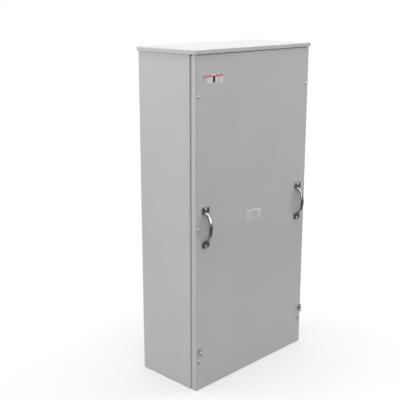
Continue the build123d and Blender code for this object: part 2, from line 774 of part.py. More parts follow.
bar_places = [phase_x(number) for number in range(len(phases))]
for phase, bar_x in zip(phases, bar_places):
    save(make_bus_bar(bar_x), f"bus_bar_{phase}")
    save(make_insulator(bar_x, lower_rail_z), f"lower_insulator_{phase}")
    save(make_insulator(bar_x, upper_rail_z), f"upper_insulator_{phase}")
    save(make_lug(bar_x), f"cable_lug_{phase}")
insulator_spots = [(x, z) for x in bar_places for z in (lower_rail_z, upper_rail_z)]
save_group([make_rail_bolt(x, z) for x, z in insulator_spots], "rail_bolts")
save_group([make_bar_bolt(x, z) for x, z in insulator_spots], "bar_bolts")
landing_spots = [(x, landing_z + step * landing_pitch) for x in bar_places for step in (0, 1)]
save_group([make_landing_bolt(x, z) for x, z in landing_spots], "landing_bolts")
save_group([make_landing_washer(x, z) for x, z in landing_spots], "landing_washers")
save_group([make_spring_washer(x, z) for x, z in landing_spots], "spring_washers")
save_group([make_landing_nut(x, z) for x, z in landing_spots], "landing_nuts")
save_group([make_set_screw(x, side) for x in bar_places for side in (-1, 1)], "set_screws")
save_group([make_lug_bolt(x) for x in bar_places], "lug_bolts")
save_group([make_lug_nut(x) for x in bar_places], "lug_nuts")

save(make_ground_bar(), "ground_bar")
save_group([make_ground_screw(ground_wire_x(number)) for number in range(ground_wires)], "ground_screws")
stud_places = [side * ground_stud_pitch / 2 for side in (-1, 1)]
save_group([make_ground_stud(x) for x in stud_places], "ground_studs")
save_group([make_ground_nut(x) for x in stud_places], "ground_nuts")
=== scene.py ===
# %% [markdown]
# # A steel termination cabinet in the studio
#
# The cabinet is a tall, light grey, powder-coated steel box with a rain hood and a lift-off cover. Its
# folded sheets, bars and terminals come from the construction model as fixed meshes. This lesson gives
# each of them its finish, and makes again the pieces that are small and curved: the bright bow handles, the
# wing nuts, the screws, the threads and the printed labels.

# %% Load the frame
import json
import math

import bmesh
import bpy
import numpy as np
from mathutils import Matrix, Vector


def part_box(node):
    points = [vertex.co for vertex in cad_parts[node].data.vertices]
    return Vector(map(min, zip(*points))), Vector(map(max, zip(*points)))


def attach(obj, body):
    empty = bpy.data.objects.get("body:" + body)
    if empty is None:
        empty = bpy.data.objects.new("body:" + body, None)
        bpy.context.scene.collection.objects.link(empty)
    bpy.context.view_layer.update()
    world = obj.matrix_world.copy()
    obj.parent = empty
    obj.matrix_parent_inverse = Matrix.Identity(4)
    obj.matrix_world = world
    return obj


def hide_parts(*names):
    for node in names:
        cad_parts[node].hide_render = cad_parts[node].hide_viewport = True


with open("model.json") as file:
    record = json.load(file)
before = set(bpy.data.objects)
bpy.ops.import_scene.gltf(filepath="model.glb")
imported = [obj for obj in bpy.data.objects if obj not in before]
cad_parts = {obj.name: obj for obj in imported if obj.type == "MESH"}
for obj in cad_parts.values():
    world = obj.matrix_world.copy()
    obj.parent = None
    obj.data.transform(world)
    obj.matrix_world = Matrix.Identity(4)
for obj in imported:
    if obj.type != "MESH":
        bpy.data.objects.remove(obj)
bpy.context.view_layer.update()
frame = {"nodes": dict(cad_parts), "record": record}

MM = 0.001
nodes = frame["nodes"]

# %% [markdown]
# ## Places that the pieces share
#
# Every place is read from the frame, so a piece lands on what carries it. The back of a label lies on the
# face of the cover, and the washers give the axis of each stud and of each wing nut.

# %% Read the shared places
face_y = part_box("upper_label")[1][1]
fixing_z = sum(c[2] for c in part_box("left_stud_washer")) / 2
fixing_x = sum(c[0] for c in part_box("right_stud_washer")) / 2
washer_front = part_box("right_stud_washer")[0][1]
row_pitch = 457.2 * MM
screw_rows = [fixing_z + row_pitch, fixing_z + 2 * row_pitch]
sides = {"left": -1, "right": 1}
print("cover face at y", round(face_y, 4), "fixings at x", round(fixing_x, 4), "z", round(fixing_z, 4))

# %% [markdown]
# ## The camera
#
# The photograph was taken from the front left, a little above the roof. The camera's place and its
# downward tilt come from the lines of the cabinet's edges. A long lens keeps the sides almost parallel,
# so it stands almost three metres away.

# %% Set up the camera
CAMERA_PLACE = (-2.1250, -1.9496, 1.3894)
CAMERA_YAW = -45.714
CAMERA_TILT_DOWN = 14.707
CAMERA_LENS = 70.07

camera_data = bpy.data.cameras.new("camera")
camera_data.lens = CAMERA_LENS
camera_data.sensor_width = 36
camera_data.clip_end = 50
camera = bpy.data.objects.new("camera", camera_data)
camera.location = CAMERA_PLACE
camera.rotation_euler = (math.radians(90 - CAMERA_TILT_DOWN), 0, math.radians(CAMERA_YAW))
bpy.context.scene.collection.objects.link(camera)
bpy.context.scene.camera = camera
bpy.context.scene.view_settings.view_transform = "Standard"
print("camera", [round(v, 3) for v in camera.location])

# %% [markdown]
# ## Small helpers for materials
#
# A finish is a little graph of nodes. These helpers keep each graph short: one makes the graph, one adds
# a node and sets its sockets, and one joins an output to an input.


# %% Node helpers
def new_material(name, color, metallic=0.0, roughness=0.5, **settings):
    """A material with one Principled shader, its plain values set on the shader's own sockets."""
    material = bpy.data.materials.new(name)
    material.use_nodes = True
    tree = material.node_tree
    shader = tree.nodes["Principled BSDF"]
    shader.inputs["Base Color"].default_value = (*color, 1)
    shader.inputs["Metallic"].default_value = metallic
    shader.inputs["Roughness"].default_value = roughness
    for socket, value in settings.items():
        shader.inputs[socket.replace("_", " ")].default_value = value
    material.diffuse_color = (*color, 1)
    return material, tree, shader


def add_node(tree, kind, **values):
    """A node of that kind; values name its settings, or its input sockets with spaces as underscores."""
    node = tree.nodes.new(kind)
    for key, value in values.items():
        socket = key.replace("_", " ")
        if socket in node.inputs:
            node.inputs[socket].default_value = value
        else:
            setattr(node, key, value)
    return node


def join(tree, source, target):
    """Joins (node, output name) to (node, input name)."""
    tree.links.new(source[0].outputs[source[1]], target[0].inputs[target[1]])


def object_noise(tree, scale, detail=2.0, roughness=0.5, stretch=(1, 1, 1)):
    """Noise that stays fixed to the object: its coordinates stretched along each axis, then noise."""
    place = add_node(tree, "ShaderNodeTexCoord")
    mapping = add_node(tree, "ShaderNodeMapping", Scale=stretch)
    noise = add_node(tree, "ShaderNodeTexNoise", Scale=scale, Detail=detail, Roughness=roughness)
    join(tree, (place, "Object"), (mapping, "Vector"))
    join(tree, (mapping, "Vector"), (noise, "Vector"))
    return noise


def spread(tree, noise, low, high):
    """Maps a noise from its middle band to a range of plain values."""
    band = add_node(tree, "ShaderNodeMapRange", From_Min=0.3, From_Max=0.7, To_Min=low, To_Max=high)
    join(tree, (noise, "Fac"), (band, "Value"))
    return band


def tint(tree, shader, noise, dark, light):
    """Lets the base colour wander between two close colours."""
    ramp = add_node(tree, "ShaderNodeValToRGB")
    ramp.color_ramp.elements[0].position = 0.35
    ramp.color_ramp.elements[0].color = (*dark, 1)
    ramp.color_ramp.elements[1].position = 0.65
    ramp.color_ramp.elements[1].color = (*light, 1)
    join(tree, (noise, "Fac"), (ramp, "Fac"))
    join(tree, (ramp, "Color"), (shader, "Base Color"))


def bump(tree, shader, noise, strength, distance):
    """Raises the surface by a noise, by at most that distance in metres."""
    relief = add_node(tree, "ShaderNodeBump", Strength=strength, Distance=distance)
    join(tree, (noise, "Fac"), (relief, "Height"))
    join(tree, (relief, "Normal"), (shader, "Normal"))
    return relief


print("material helpers ready")

# %% [markdown]
# ## Powder coat
#
# The grey is a baked powder coat. From a step away it is even and satin. Close up it has orange peel: soft
# bumps about a millimetre across, which break up reflections, and the film's gloss wanders a little.
# A bump map gives the peel, since its height is a few hundredths of a millimetre.

# %% Paint materials
PAINT = (0.44, 0.44, 0.44)
PAINT_DARK = tuple(0.98 * c for c in PAINT)
PAINT_LIGHT = tuple(1.015 * c for c in PAINT)


def powder_coat(name, seed_shift):
    """Even grey with fine peel; seed_shift moves the pattern so that no two sheets match."""
    material, tree, shader = new_material(name, PAINT, roughness=0.45, Specular_IOR_Level=0.4)
    clouds = object_noise(tree, 6.0, detail=3.0)
    peel = object_noise(tree, 780.0, detail=1.5, roughness=0.45)
    mapping = clouds.inputs["Vector"].links[0].from_node
    mapping.inputs["Location"].default_value = (seed_shift, 0.3 * seed_shift, 0)
    tint(tree, shader, clouds, PAINT_DARK, PAINT_LIGHT)
    join(tree, (spread(tree, clouds, 0.42, 0.48), "Result"), (shader, "Roughness"))
    bump(tree, shader, peel, 0.35, 0.00006)
    return material


body_paint = powder_coat("body_paint", 0.0)
cover_paint = powder_coat("cover_paint", 3.7)
print("paints", body_paint.name, cover_paint.name)

# %% [markdown]
# ## Bright metals
#
# Chrome plate on the handles is almost a mirror, with faint polishing lines; its colour is set far darker
# than real chrome, as painted shade for the dark surroundings its reflections should show. Zinc plate on the
# fasteners is softer and slightly blue, with a mottled crystal sheen. The wing nuts, the sealing studs and
# their threads get a darker copy of the zinc, as painted shade for the dark surroundings in their
# reflections.
# The bus bars are tin plated, so they are pale and matt with rolling marks along the bar, and the lugs are
# bare extruded aluminium. One plain metal shader would do for each, but a real plate is never quite even, so
# one noise moves its gloss and a finer, stretched one gives its lines.


# %% Metal materials
def plated(name, color, roughness, mottle, scale, lines, depth):
    """Metal whose gloss is mottled by one noise, with fine stretched lines in its surface."""
    material, tree, shader = new_material(name, color, metallic=1.0, roughness=roughness)
    clouds = object_noise(tree, scale, detail=3.0)
    low, high = roughness - mottle, roughness + mottle
    join(tree, (spread(tree, clouds, low, high), "Result"), (shader, "Roughness"))
    tint(tree, shader, clouds, tuple(0.93 * c for c in color), color)
    grain = object_noise(tree, scale * 4, detail=2.0, stretch=lines)
    bump(tree, shader, grain, 0.3, depth)
    return material


# The chrome's colour is far below real chrome: painted shade for the dark surroundings in the handles'
# reflections.
chrome = plated("chrome_plate", (0.18, 0.18, 0.18), 0.10, 0.03, 60.0, (12, 1, 1), 0.00001)
zinc = plated("zinc_plate", (0.50, 0.50, 0.505), 0.20, 0.05, 260.0, (1, 1, 1), 0.00002)
# A darker copy of the zinc: painted shade for the dark surroundings reflected by the wing nuts, sealing studs
# and their threads.
shaded_zinc = plated("shaded_zinc", (0.34, 0.34, 0.345), 0.15, 0.04, 260.0, (1, 1, 1), 0.00002)
tin = plated("tin_plate", (0.62, 0.62, 0.61), 0.36, 0.06, 45.0, (14, 1, 0.5), 0.00002)
aluminium = plated("extruded_aluminium", (0.58, 0.58, 0.59), 0.33, 0.05, 90.0, (10, 10, 0.4), 0.00003)
print("metals", [m.name for m in (chrome, zinc, shaded_zinc, tin, aluminium)])

# %% [markdown]
# ## Glass-filled polyester
#
# The insulators are moulded from red polyester full of short glass fibres. The fibres show as paler flecks
# under a dull skin. Stretched noise gives the flecks.

# %% Insulator material
RED = (0.33, 0.035, 0.022)
polyester, polyester_tree, polyester_shader = new_material("red_polyester", RED, roughness=0.5)
flecks = object_noise(polyester_tree, 420.0, detail=4.0, roughness=0.7, stretch=(1, 0.35, 1))
tint(polyester_tree, polyester_shader, flecks, RED, (0.43, 0.075, 0.05))
bump(polyester_tree, polyester_shader, flecks, 0.25, 0.00008)
print("insulators", polyester.name)


# %% [markdown]
# ## Dress the construction meshes
#
# Each mesh from the construction model keeps its shape. Only its material slots change. The record names a
# finish for each node, so one table of finishes dresses them all.

# %% Give each construction mesh its finish
FINISHES = {
    "grey_paint": body_paint,
    "cover_paint": cover_paint,
    "zinc_steel": zinc,
    "bright_chrome": chrome,
    "tinned_bar": tin,
    "lug_aluminium": aluminium,
    "red_insulator": polyester,
    "label_film": cover_paint,
}


def dress(node, material):
    """Puts one material in every slot of a construction mesh."""
    mesh = nodes[node].data
    mesh.materials.clear()
    mesh.materials.append(material)


for row in frame["record"]["subparts"]:
    dress(row["node"], FINISHES[row["material_slot"]])
# The sealing studs take the darker zinc copy, painted shade for the dark surroundings they reflect.
dress("seal_studs", shaded_zinc)

# %% [markdown]
# ## Surfaces from grids
#
# Every new piece is one or more grids of points. A grid is an array of rows and columns, and its cells are
# the faces. Poles and seams fall on top of each other, so one merge closes them, and the faces are then
# turned outwards.


# %% Grid helpers
def cells(rows, columns, first):
    """The four corners of each cell of a grid whose points start at index first."""
    row, column = np.meshgrid(np.arange(rows - 1), np.arange(columns - 1), indexing="ij")
    corner = (first + row * columns + column).ravel()
    return np.stack((corner, corner + 1, corner + columns + 1, corner + columns), axis=1)


def make_piece(name, grids, materials, body, replaces=(), smooth_angle=35.0):
    """One mesh from a list of (grid, material number); merged, turned outwards and put on its body."""
    points = np.concatenate([grid.reshape(-1, 3) for grid, _ in grids])
    starts = np.cumsum([0] + [grid.shape[0] * grid.shape[1] for grid, _ in grids])
    faces = np.concatenate([cells(grid.shape[0], grid.shape[1], start)
                            for (grid, _), start in zip(grids, starts)])
    numbers = np.concatenate([np.full((grid.shape[0] - 1) * (grid.shape[1] - 1), number)
                              for grid, number in grids])
    mesh = bpy.data.meshes.new(name)
    mesh.from_pydata(points.tolist(), [], faces.tolist())
    mesh.polygons.foreach_set("material_index", numbers.astype(np.int32))
    work = bmesh.new()
    work.from_mesh(mesh)
    bmesh.ops.remove_doubles(work, verts=work.verts, dist=1e-6)
    bmesh.ops.recalc_face_normals(work, faces=work.faces)
    work.to_mesh(mesh)
    work.free()
    mesh.shade_smooth()
    mesh.set_sharp_from_angle(angle=math.radians(smooth_angle))
    for material in materials:
        mesh.materials.append(material)
    piece = bpy.data.objects.new(name, mesh)
    bpy.context.scene.collection.objects.link(piece)
    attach(piece, body)
    if replaces:
        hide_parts(*replaces)
    print(name, "faces", len(mesh.polygons))
    return piece


def turn(around=48):
    """Angles once round, with the first repeated at the end."""
    return np.linspace(0, 2 * np.pi, around + 1)


def lathe(profile, around=48):
    """A profile of (radius, height) pairs spun once round the height axis: x, y, height."""
    radius, height = np.array(profile, dtype=float).T
    angle = turn(around)
    return np.stack((radius[:, None] * np.cos(angle), radius[:, None] * np.sin(angle),
                     np.repeat(height[:, None], len(angle), axis=1)), axis=-1)


def stand_on_cover(grid, x, y, z):
    """Turns a piece's height axis to point forward out of the cover, and moves its foot to a place."""
    return np.stack((grid[..., 0] + x, y - grid[..., 2], grid[..., 1] + z), axis=-1)


def close_ends(tube):
    """Closes a tube of rings by a point in the middle of its first and last ring."""
    first, last = (np.broadcast_to(ring.mean(axis=0), ring.shape) for ring in (tube[0], tube[-1]))
    return np.concatenate((first[None], tube, last[None]))


print("grid helpers ready")

# %% [markdown]
# ## Bow handles
#
# Each handle is a cast and chromed bow pull: two feet with rounded corners and an arched strap between them.
# The strap is a flat section with round edges, carried along a line of three arcs: a nearly flat crown, and
# a rounder shoulder at each end. A bent and bevelled curve could give it too, but its width has to change on
# the way. The line is written by its slope angle, because both arcs are then one formula. The strap is widest
# at its middle and swells again where it runs into the feet.

# %% Handle sizes
handle_low, handle_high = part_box("left_handle")
BOW_THICK = 5.0 * MM
BOW_WIDTH = 17.0 * MM
BOW_ROOT = 52.0 * MM
BOW_ROOT_WIDTH = 12.5 * MM
BOW_ROOT_THICK = 6.5 * MM
BOW_SQUARE = 0.4
BOW_CROWN = 24.0 * MM
CROWN_DROP = 2.6 * MM
ROOT_FLARE = 1.2 * MM
FOOT_HEIGHT = 23.5 * MM
FOOT_THICK = 3.0 * MM
FOOT_CORNER = 6.0 * MM
FOOT_EDGE = 0.6 * MM
bow_stand = face_y - handle_low[1]
foot_width = handle_high[0] - handle_low[0]
half_length = (handle_high[2] - handle_low[2]) / 2
print("bow stands", round(bow_stand, 4), "foot wide", round(foot_width, 4))


# %% Rounded plates
def rounded_outline(width, height, corner, per_corner=9):
    """Points round a rectangle with quarter-circle corners, the first repeated at the end."""
    steps = np.linspace(0, np.pi / 2, per_corner)
    quarter = np.concatenate([steps + k * np.pi / 2 for k in range(4)])
    centre_x = np.repeat([1, -1, -1, 1], per_corner) * (width / 2 - corner)
    centre_y = np.repeat([1, 1, -1, -1], per_corner) * (height / 2 - corner)
    outline = np.stack((centre_x + corner * np.cos(quarter), centre_y + corner * np.sin(quarter)), axis=-1)
    return np.concatenate((outline, outline[:1]))


def rounded_plate(width, height, corner, thick, edge, rounding=6):
    """Outlines stacked up the plate's side, drawn in by a quarter circle at the front edge, then closed."""
    swing = np.linspace(0, np.pi / 2, rounding)
    insets = np.concatenate(([0.0], edge * (1 - np.cos(swing))))
    heights = np.concatenate(([0.0], thick - edge + edge * np.sin(swing)))
    rows = []
    for inset, level in zip(insets, heights):
        outline = rounded_outline(width - 2 * inset, height - 2 * inset, max(corner - inset, 1e-5))
        rows.append(np.column_stack((outline, np.full(len(outline), level))))
    front = [rows[-1] * (share, share, 1) for share in (0.66, 0.33, 0.0)]
    return np.stack([rows[0] * (0, 0, 1)] + rows + front)


# %% Bow grip
def bow_line(share):
    """The grip's line by slope angle: each arc moves by radius times the change of the angle's sine."""
    crest = bow_stand - BOW_THICK / 2
    crown_radius = (BOW_CROWN ** 2 + CROWN_DROP ** 2) / (2 * CROWN_DROP)
    crown_slope = math.asin(BOW_CROWN / crown_radius)
    run, fall = BOW_ROOT - BOW_CROWN, crest - CROWN_DROP - FOOT_THICK / 2
    root_slope = 2 * math.atan2(fall, run) - crown_slope
    shoulder_radius = math.hypot(run, fall) / (2 * math.sin((root_slope - crown_slope) / 2))
    slope = np.interp(np.abs(share), [0, 0.42, 1], [0, crown_slope, root_slope])
    on_crown = np.minimum(slope, crown_slope)
    on_shoulder = np.maximum(slope, crown_slope)
    along = crown_radius * np.sin(on_crown) + shoulder_radius * (np.sin(on_shoulder) - math.sin(crown_slope))
    stand = crest - crown_radius * (1 - np.cos(on_crown))
    stand -= shoulder_radius * (math.cos(crown_slope) - np.cos(on_shoulder))
    return np.sign(share) * along, stand, np.sign(share) * slope


def bow_grip(samples=73, around=56):
    """Straps across the line: half width by cosine, half thickness by sine, both to the power 0.4."""
    up, stand, slope = (values[:, None] for values in bow_line(np.linspace(-1, 1, samples)))
    section = turn(around)[None, :]
    reach = np.abs(up) / BOW_ROOT
    flare = ROOT_FLARE * np.clip((reach - 0.82) / 0.18, 0, 1) ** 2
    half_width = (BOW_WIDTH + (BOW_ROOT_WIDTH - BOW_WIDTH) * reach) / 2 + flare
    half_thick = (BOW_THICK + (BOW_ROOT_THICK - BOW_THICK) * reach ** 3) / 2
    across = half_width * np.sign(np.cos(section)) * np.abs(np.cos(section)) ** BOW_SQUARE
    outward = half_thick * np.sign(np.sin(section)) * np.abs(np.sin(section)) ** BOW_SQUARE
    grip = np.stack((across, up + outward * np.sin(slope), stand + outward * np.cos(slope)), axis=-1)
    grip[..., 2] = np.maximum(grip[..., 2], 0.2 * MM)
    return close_ends(grip)


def handle_grids(x, z):
    """The grip and the two feet of one handle, in place."""
    foot = rounded_plate(foot_width, FOOT_HEIGHT, FOOT_CORNER, FOOT_THICK, FOOT_EDGE)
    grids = [(stand_on_cover(bow_grip(), x, face_y, z), 0)]
    for end in (-1, 1):
        grids.append((stand_on_cover(foot, x, face_y, z + end * (half_length - FOOT_HEIGHT / 2)), 0))
    return grids


# %% Make the handles
handle_z = (handle_low[2] + handle_high[2]) / 2
handle_x = abs(handle_low[0] + handle_high[0]) / 2
for name, side in sides.items():
    make_piece(f"{name}_bow_handle", handle_grids(side * handle_x, handle_z), [chrome], "cover",
               replaces=[f"{name}_handle"])

# %% [markdown]
# ## Slotted screws
#
# The cover screws and handle screws have domed heads with a driver slot. A slot could be cut with a boolean,
# but a grid keeps the mesh clean. The dome is a height over a disc. Its points lie on chords across the disc,
# so the two chords beside the slot can be doubled, one pair at the dome's height and one at the slot's floor.
# A ring down to the seat closes the head. The thread is a V ridge that climbs round a plain shank.


# %% Screw head
def slotted_head(radius, tall, rim, slot_wide, slot_deep, chords=9, along=21):
    """Dome over a disc: rim plus the rest times the root of one minus the distance to the power 2.4."""
    wing = np.linspace(-radius, -slot_wide / 2, chords)
    across = np.concatenate((wing, [-slot_wide / 2, slot_wide / 2], -wing[::-1]))
    in_slot = np.zeros(len(across), bool)
    in_slot[chords:chords + 2] = True
    half_chord = np.sqrt(np.maximum(radius ** 2 - across ** 2, 0))
    place = half_chord[:, None] * np.linspace(-1, 1, along)[None, :]
    distance = np.clip(np.hypot(across[:, None], place) / radius, 0, 1)
    dome = rim + (tall - rim) * np.sqrt(np.maximum(1 - distance ** 2.4, 0))
    height = np.where(in_slot[:, None], np.minimum(dome, tall - slot_deep), dome)
    top = np.stack((across[:, None] + 0 * place, place, height), axis=-1)
    ring = np.concatenate((top[:, -1], top[::-1, 0], top[:1, -1]))
    skirt = np.stack([ring, ring * (1, 1, 0), ring * (0, 0, 0)])
    return [top, skirt]


def thread_ridge(radius, crest, pitch, start, end, steps=20):
    """A V ridge along a helix: four corners of the ridge carried round at a steady climb, ends tapered."""
    turns = (end - start) / pitch - 1
    angle = np.linspace(0, 2 * np.pi * turns, int(turns * steps) + 1)
    climb = start + pitch * (0.5 + angle / (2 * np.pi))
    taper = np.clip(np.minimum(angle, angle[-1] - angle) / np.pi, 0, 1)
    corners = np.array([(-0.46, 0.0), (-0.08, 1.0), (0.08, 1.0), (0.46, 0.0), (-0.46, 0.0)])
    reach = radius - 0.03 * MM + (crest - radius) * corners[:, 1] * taper[:, None]
    level = climb[:, None] + pitch * corners[:, 0]
    ridge = np.stack((reach * np.cos(angle)[:, None], reach * np.sin(angle)[:, None], level), axis=-1)
    return close_ends(ridge)


def shank(radius, start, end, around=24):
    """A plain closed cylinder with a softened tip."""
    soft = 0.12 * radius
    step = math.copysign(soft, start - end)
    return lathe([(0, start), (radius, start), (radius, end + step), (radius - soft, end), (0, end)], around)


# %% Make the cover screws
SCREW_RADIUS = 3.175 * MM
SCREW_HEAD = 5.6 * MM
SCREW_HEAD_TALL = 3.8 * MM
SCREW_RIM = 0.9 * MM
SCREW_SLOT_WIDE = 1.5 * MM
SCREW_SLOT_DEEP = 1.6 * MM
SCREW_LENGTH = 18.0 * MM
SCREW_PITCH = 1.27 * MM
SCREW_CREST = 0.18 * MM
SCREW_TIP = 0.5 * MM
SCREW_PLAIN = 4.5 * MM

screw_parts = slotted_head(SCREW_HEAD, SCREW_HEAD_TALL, SCREW_RIM, SCREW_SLOT_WIDE, SCREW_SLOT_DEEP)
screw_parts.append(shank(SCREW_RADIUS - SCREW_CREST, 0.0, -SCREW_LENGTH))
screw_parts.append(thread_ridge(SCREW_RADIUS - SCREW_CREST, SCREW_RADIUS, SCREW_PITCH,
                                -SCREW_LENGTH + SCREW_TIP, -SCREW_PLAIN))
screw_grids = []
for side in sides.values():
    for z in screw_rows:
        screw_grids += [(stand_on_cover(grid, side * fixing_x, face_y, z), 0) for grid in screw_parts]
make_piece("cover_screw_set", screw_grids, [zinc], "cover", replaces=["cover_screws"])

# %% Make the handle screws
HANDLE_PITCH = 133.35 * MM
HANDLE_SCREW = 2.4 * MM
HANDLE_HEAD = 4.4 * MM
HANDLE_HEAD_TALL = 2.6 * MM
HANDLE_RIM = 0.6 * MM
HANDLE_SLOT = 1.1 * MM
HANDLE_SCREW_END = 6.6 * MM

head = slotted_head(HANDLE_HEAD, HANDLE_HEAD_TALL, HANDLE_RIM, HANDLE_SLOT, HANDLE_SLOT, chords=7, along=15)
handle_screw_parts = [grid + (0, 0, FOOT_THICK) for grid in head]
handle_screw_parts.append(shank(HANDLE_SCREW, FOOT_THICK, -HANDLE_SCREW_END))
handle_screw_grids = []
for side in sides.values():
    for end in (-1, 1):
        place = (side * handle_x, face_y, handle_z + end * HANDLE_PITCH / 2)
        handle_screw_grids += [(stand_on_cover(grid, *place), 0) for grid in handle_screw_parts]
make_piece("handle_screw_set", handle_screw_grids, [zinc], "cover", replaces=["handle_screws"])

# %% [markdown]
# ## Wing nuts and their studs
#
# A wing nut is a tapered hub with two raked blades. It could be sculpted, but both of its forms are simple
# to write. The hub is a profile spun round. Each blade is an oval section carried along a curve that starts
# inside the hub and swings outwards and forwards, and it swells and then closes to a round tip. The stud
# keeps its drilled mesh and gets a helical ridge for its thread.

# %% Wing nut
HUB_BASE = 6.6 * MM
HUB_TOP = 6.0 * MM
HUB_TALL = 7.6 * MM
HUB_RIM = 1.3 * MM
WING_FOOT = (5.0, 3.6)
WING_KNEE = (10.0, 4.6)
WING_TIP_INSET = (3.1, 3.2)
WING_CLOSES = 0.72
NUT_BORE = 4.27 * MM
nut_low, nut_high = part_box("left_wing_nut")
wing_reach = (nut_high[2] - nut_low[2]) / 2
wing_tall = nut_high[1] - nut_low[1]


def hub():
    """Tapered ring round the bore, its outer rim rounded by a quarter circle."""
    soft = 0.3 * MM
    swing = np.linspace(0, np.pi / 2, 6)
    rim = [(HUB_TOP - HUB_RIM * (1 - math.cos(a)), HUB_TALL - HUB_RIM * (1 - math.sin(a))) for a in swing]
    return lathe([(NUT_BORE, 0), (HUB_BASE - soft, 0), (HUB_BASE, soft), *rim, (NUT_BORE + soft, HUB_TALL),
                  (NUT_BORE, HUB_TALL - soft), (NUT_BORE, 0)])


def wing(end, samples=19, around=16):
    """Blade: centres run along a quadratic curve; half widths follow the root of a swelling and closing."""
    share = np.linspace(0, 1, samples)[:, None]
    tip = (wing_reach / MM - WING_TIP_INSET[0], wing_tall / MM - WING_TIP_INSET[1])
    foot, knee, tip = np.array([WING_FOOT, WING_KNEE, tip]) * MM
    path = (1 - share) ** 2 * foot + 2 * share * (1 - share) * knee + share ** 2 * tip
    way = np.gradient(path, axis=0)
    way /= np.linalg.norm(way, axis=1, keepdims=True)
    side_way = np.stack((-way[:, 1], way[:, 0]), axis=1)
    closing = np.clip((share - WING_CLOSES) / (1 - WING_CLOSES), 0, 1)
    close = np.sqrt(np.clip(1 - closing ** 2, 0, 1))
    half_wide = (2.5 + 1.5 * np.sin(np.pi * share * 0.8)) * MM * close
    half_thick = (1.5 - 0.3 * share) * MM * close
    path = path + way * 3.0 * MM * closing
    angle = turn(around)[None, :]
    out = path[:, :1] + side_way[:, :1] * half_wide * np.cos(angle)
    forward = path[:, 1:] + side_way[:, 1:] * half_wide * np.cos(angle)
    across = half_thick * np.sin(angle)
    blade = np.stack((across, end * out, forward), axis=-1)
    root = np.repeat(blade[0].mean(axis=0, keepdims=True), blade.shape[1], axis=0)[None]
    return np.concatenate((root, blade))


# %% Make the wing nuts
# The wing nuts take the darker zinc copy, painted shade for the dark surroundings they reflect.
for name, side in sides.items():
    grids = [hub(), wing(1), wing(-1)]
    placed = [(stand_on_cover(grid, side * fixing_x, washer_front, fixing_z), 0) for grid in grids]
    make_piece(f"{name}_wing_nut_shaded", placed, [shaded_zinc], f"{name}_nut",
               replaces=[f"{name}_wing_nut"])

# %% Thread the studs
STUD_RADIUS = 3.97 * MM
STUD_CREST = 4.17 * MM
STUD_PITCH = 1.411 * MM
STUD_PLAIN_TIP = 5.4 * MM

stud_end = face_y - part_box("seal_studs")[0][1]
stud_threads = thread_ridge(STUD_RADIUS, STUD_CREST, STUD_PITCH, -0.4 * MM, stud_end - STUD_PLAIN_TIP)
placed = [(stand_on_cover(stud_threads, side * fixing_x, face_y, fixing_z), 0) for side in sides.values()]
# The stud threads take the darker zinc copy too, as painted shade.
make_piece("seal_stud_threads", placed, [shaded_zinc], "cabinet")

# %% [markdown]
# ## Labels
#
# Two thin film labels are stuck to the cover. The upper one has red bands over pale fields with plain marks,
# and the middle one is a pale plate with grey bars. An image could carry them, but here each mark is its own
# thin sheet of ink, a few hundredths of a millimetre proud of the film, so it stays sharp from any distance.

# %% Label inks
film, film_tree, film_shader = new_material("label_film", (0.56, 0.56, 0.56), roughness=0.34)
film_cloud = object_noise(film_tree, 40.0)
tint(film_tree, film_shader, film_cloud, (0.545, 0.545, 0.55), (0.575, 0.575, 0.575))
INKS = {"film": (0.56, 0.56, 0.56), "red": (0.52, 0.16, 0.15), "grey": (0.22, 0.22, 0.23),
        "black": (0.02, 0.02, 0.02), "white": (0.67, 0.67, 0.67), "rose": (0.58, 0.36, 0.34)}


def ink(name, color):
    """Printed ink: an even colour broken by faint mottle, and more matt than the film."""
    material, tree, shader = new_material(f"{name}_ink", color, roughness=0.5, Specular_IOR_Level=0.15)
    mottle = object_noise(tree, 900.0, detail=2.0)
    tint(tree, shader, mottle, tuple(0.92 * c for c in color), color)
    return material


ink_materials = [film] + [ink(name, color) for name, color in INKS.items() if name != "film"]
ink_numbers = {name: number for number, name in enumerate(INKS)}
print("inks", list(ink_numbers))


# %% Label shapes
FILM_THICK = 0.35 * MM
INK_THICK = 0.05 * MM
INK_SUNK = 0.02 * MM


def field(left, right, bottom, top, layer=1):
    """A thin rectangle of ink on the film, as a shallow closed box; a higher layer prints over a lower."""
    width, height = (right - left) * MM, (top - bottom) * MM
    plate = rounded_plate(width, height, 0.15 * MM, INK_THICK * layer, 0.01 * MM, rounding=2)
    return plate + ((left + right) / 2 * MM, (bottom + top) / 2 * MM, FILM_THICK - INK_SUNK)


def ring(x, y, inner, outer, layer=2):
    """A flat ring of ink, printed over the field below it."""
    tall = INK_THICK * layer
    corners = [(inner, 0), (outer, 0), (outer, 1), (inner, 1), (inner, 0)]
    spun = lathe([(radius * MM, level * tall) for radius, level in corners])
    return spun + (x * MM, y * MM, FILM_THICK - INK_SUNK)


def make_label(name, node, marks):
    """The film and its marks, (ink, grid), placed on the centre of the construction label."""
    low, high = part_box(node)
    width, height = high[0] - low[0], high[2] - low[2]
    base = rounded_plate(width, height, 2.0 * MM, FILM_THICK, 0.08 * MM, rounding=3)
    centre = ((low[0] + high[0]) / 2, face_y, (low[2] + high[2]) / 2)
    grids = [(stand_on_cover(base, *centre), 0)]
    grids += [(stand_on_cover(grid, *centre), ink_numbers[color]) for color, grid in marks]
    make_piece(name, grids, ink_materials, "cover", replaces=[node])


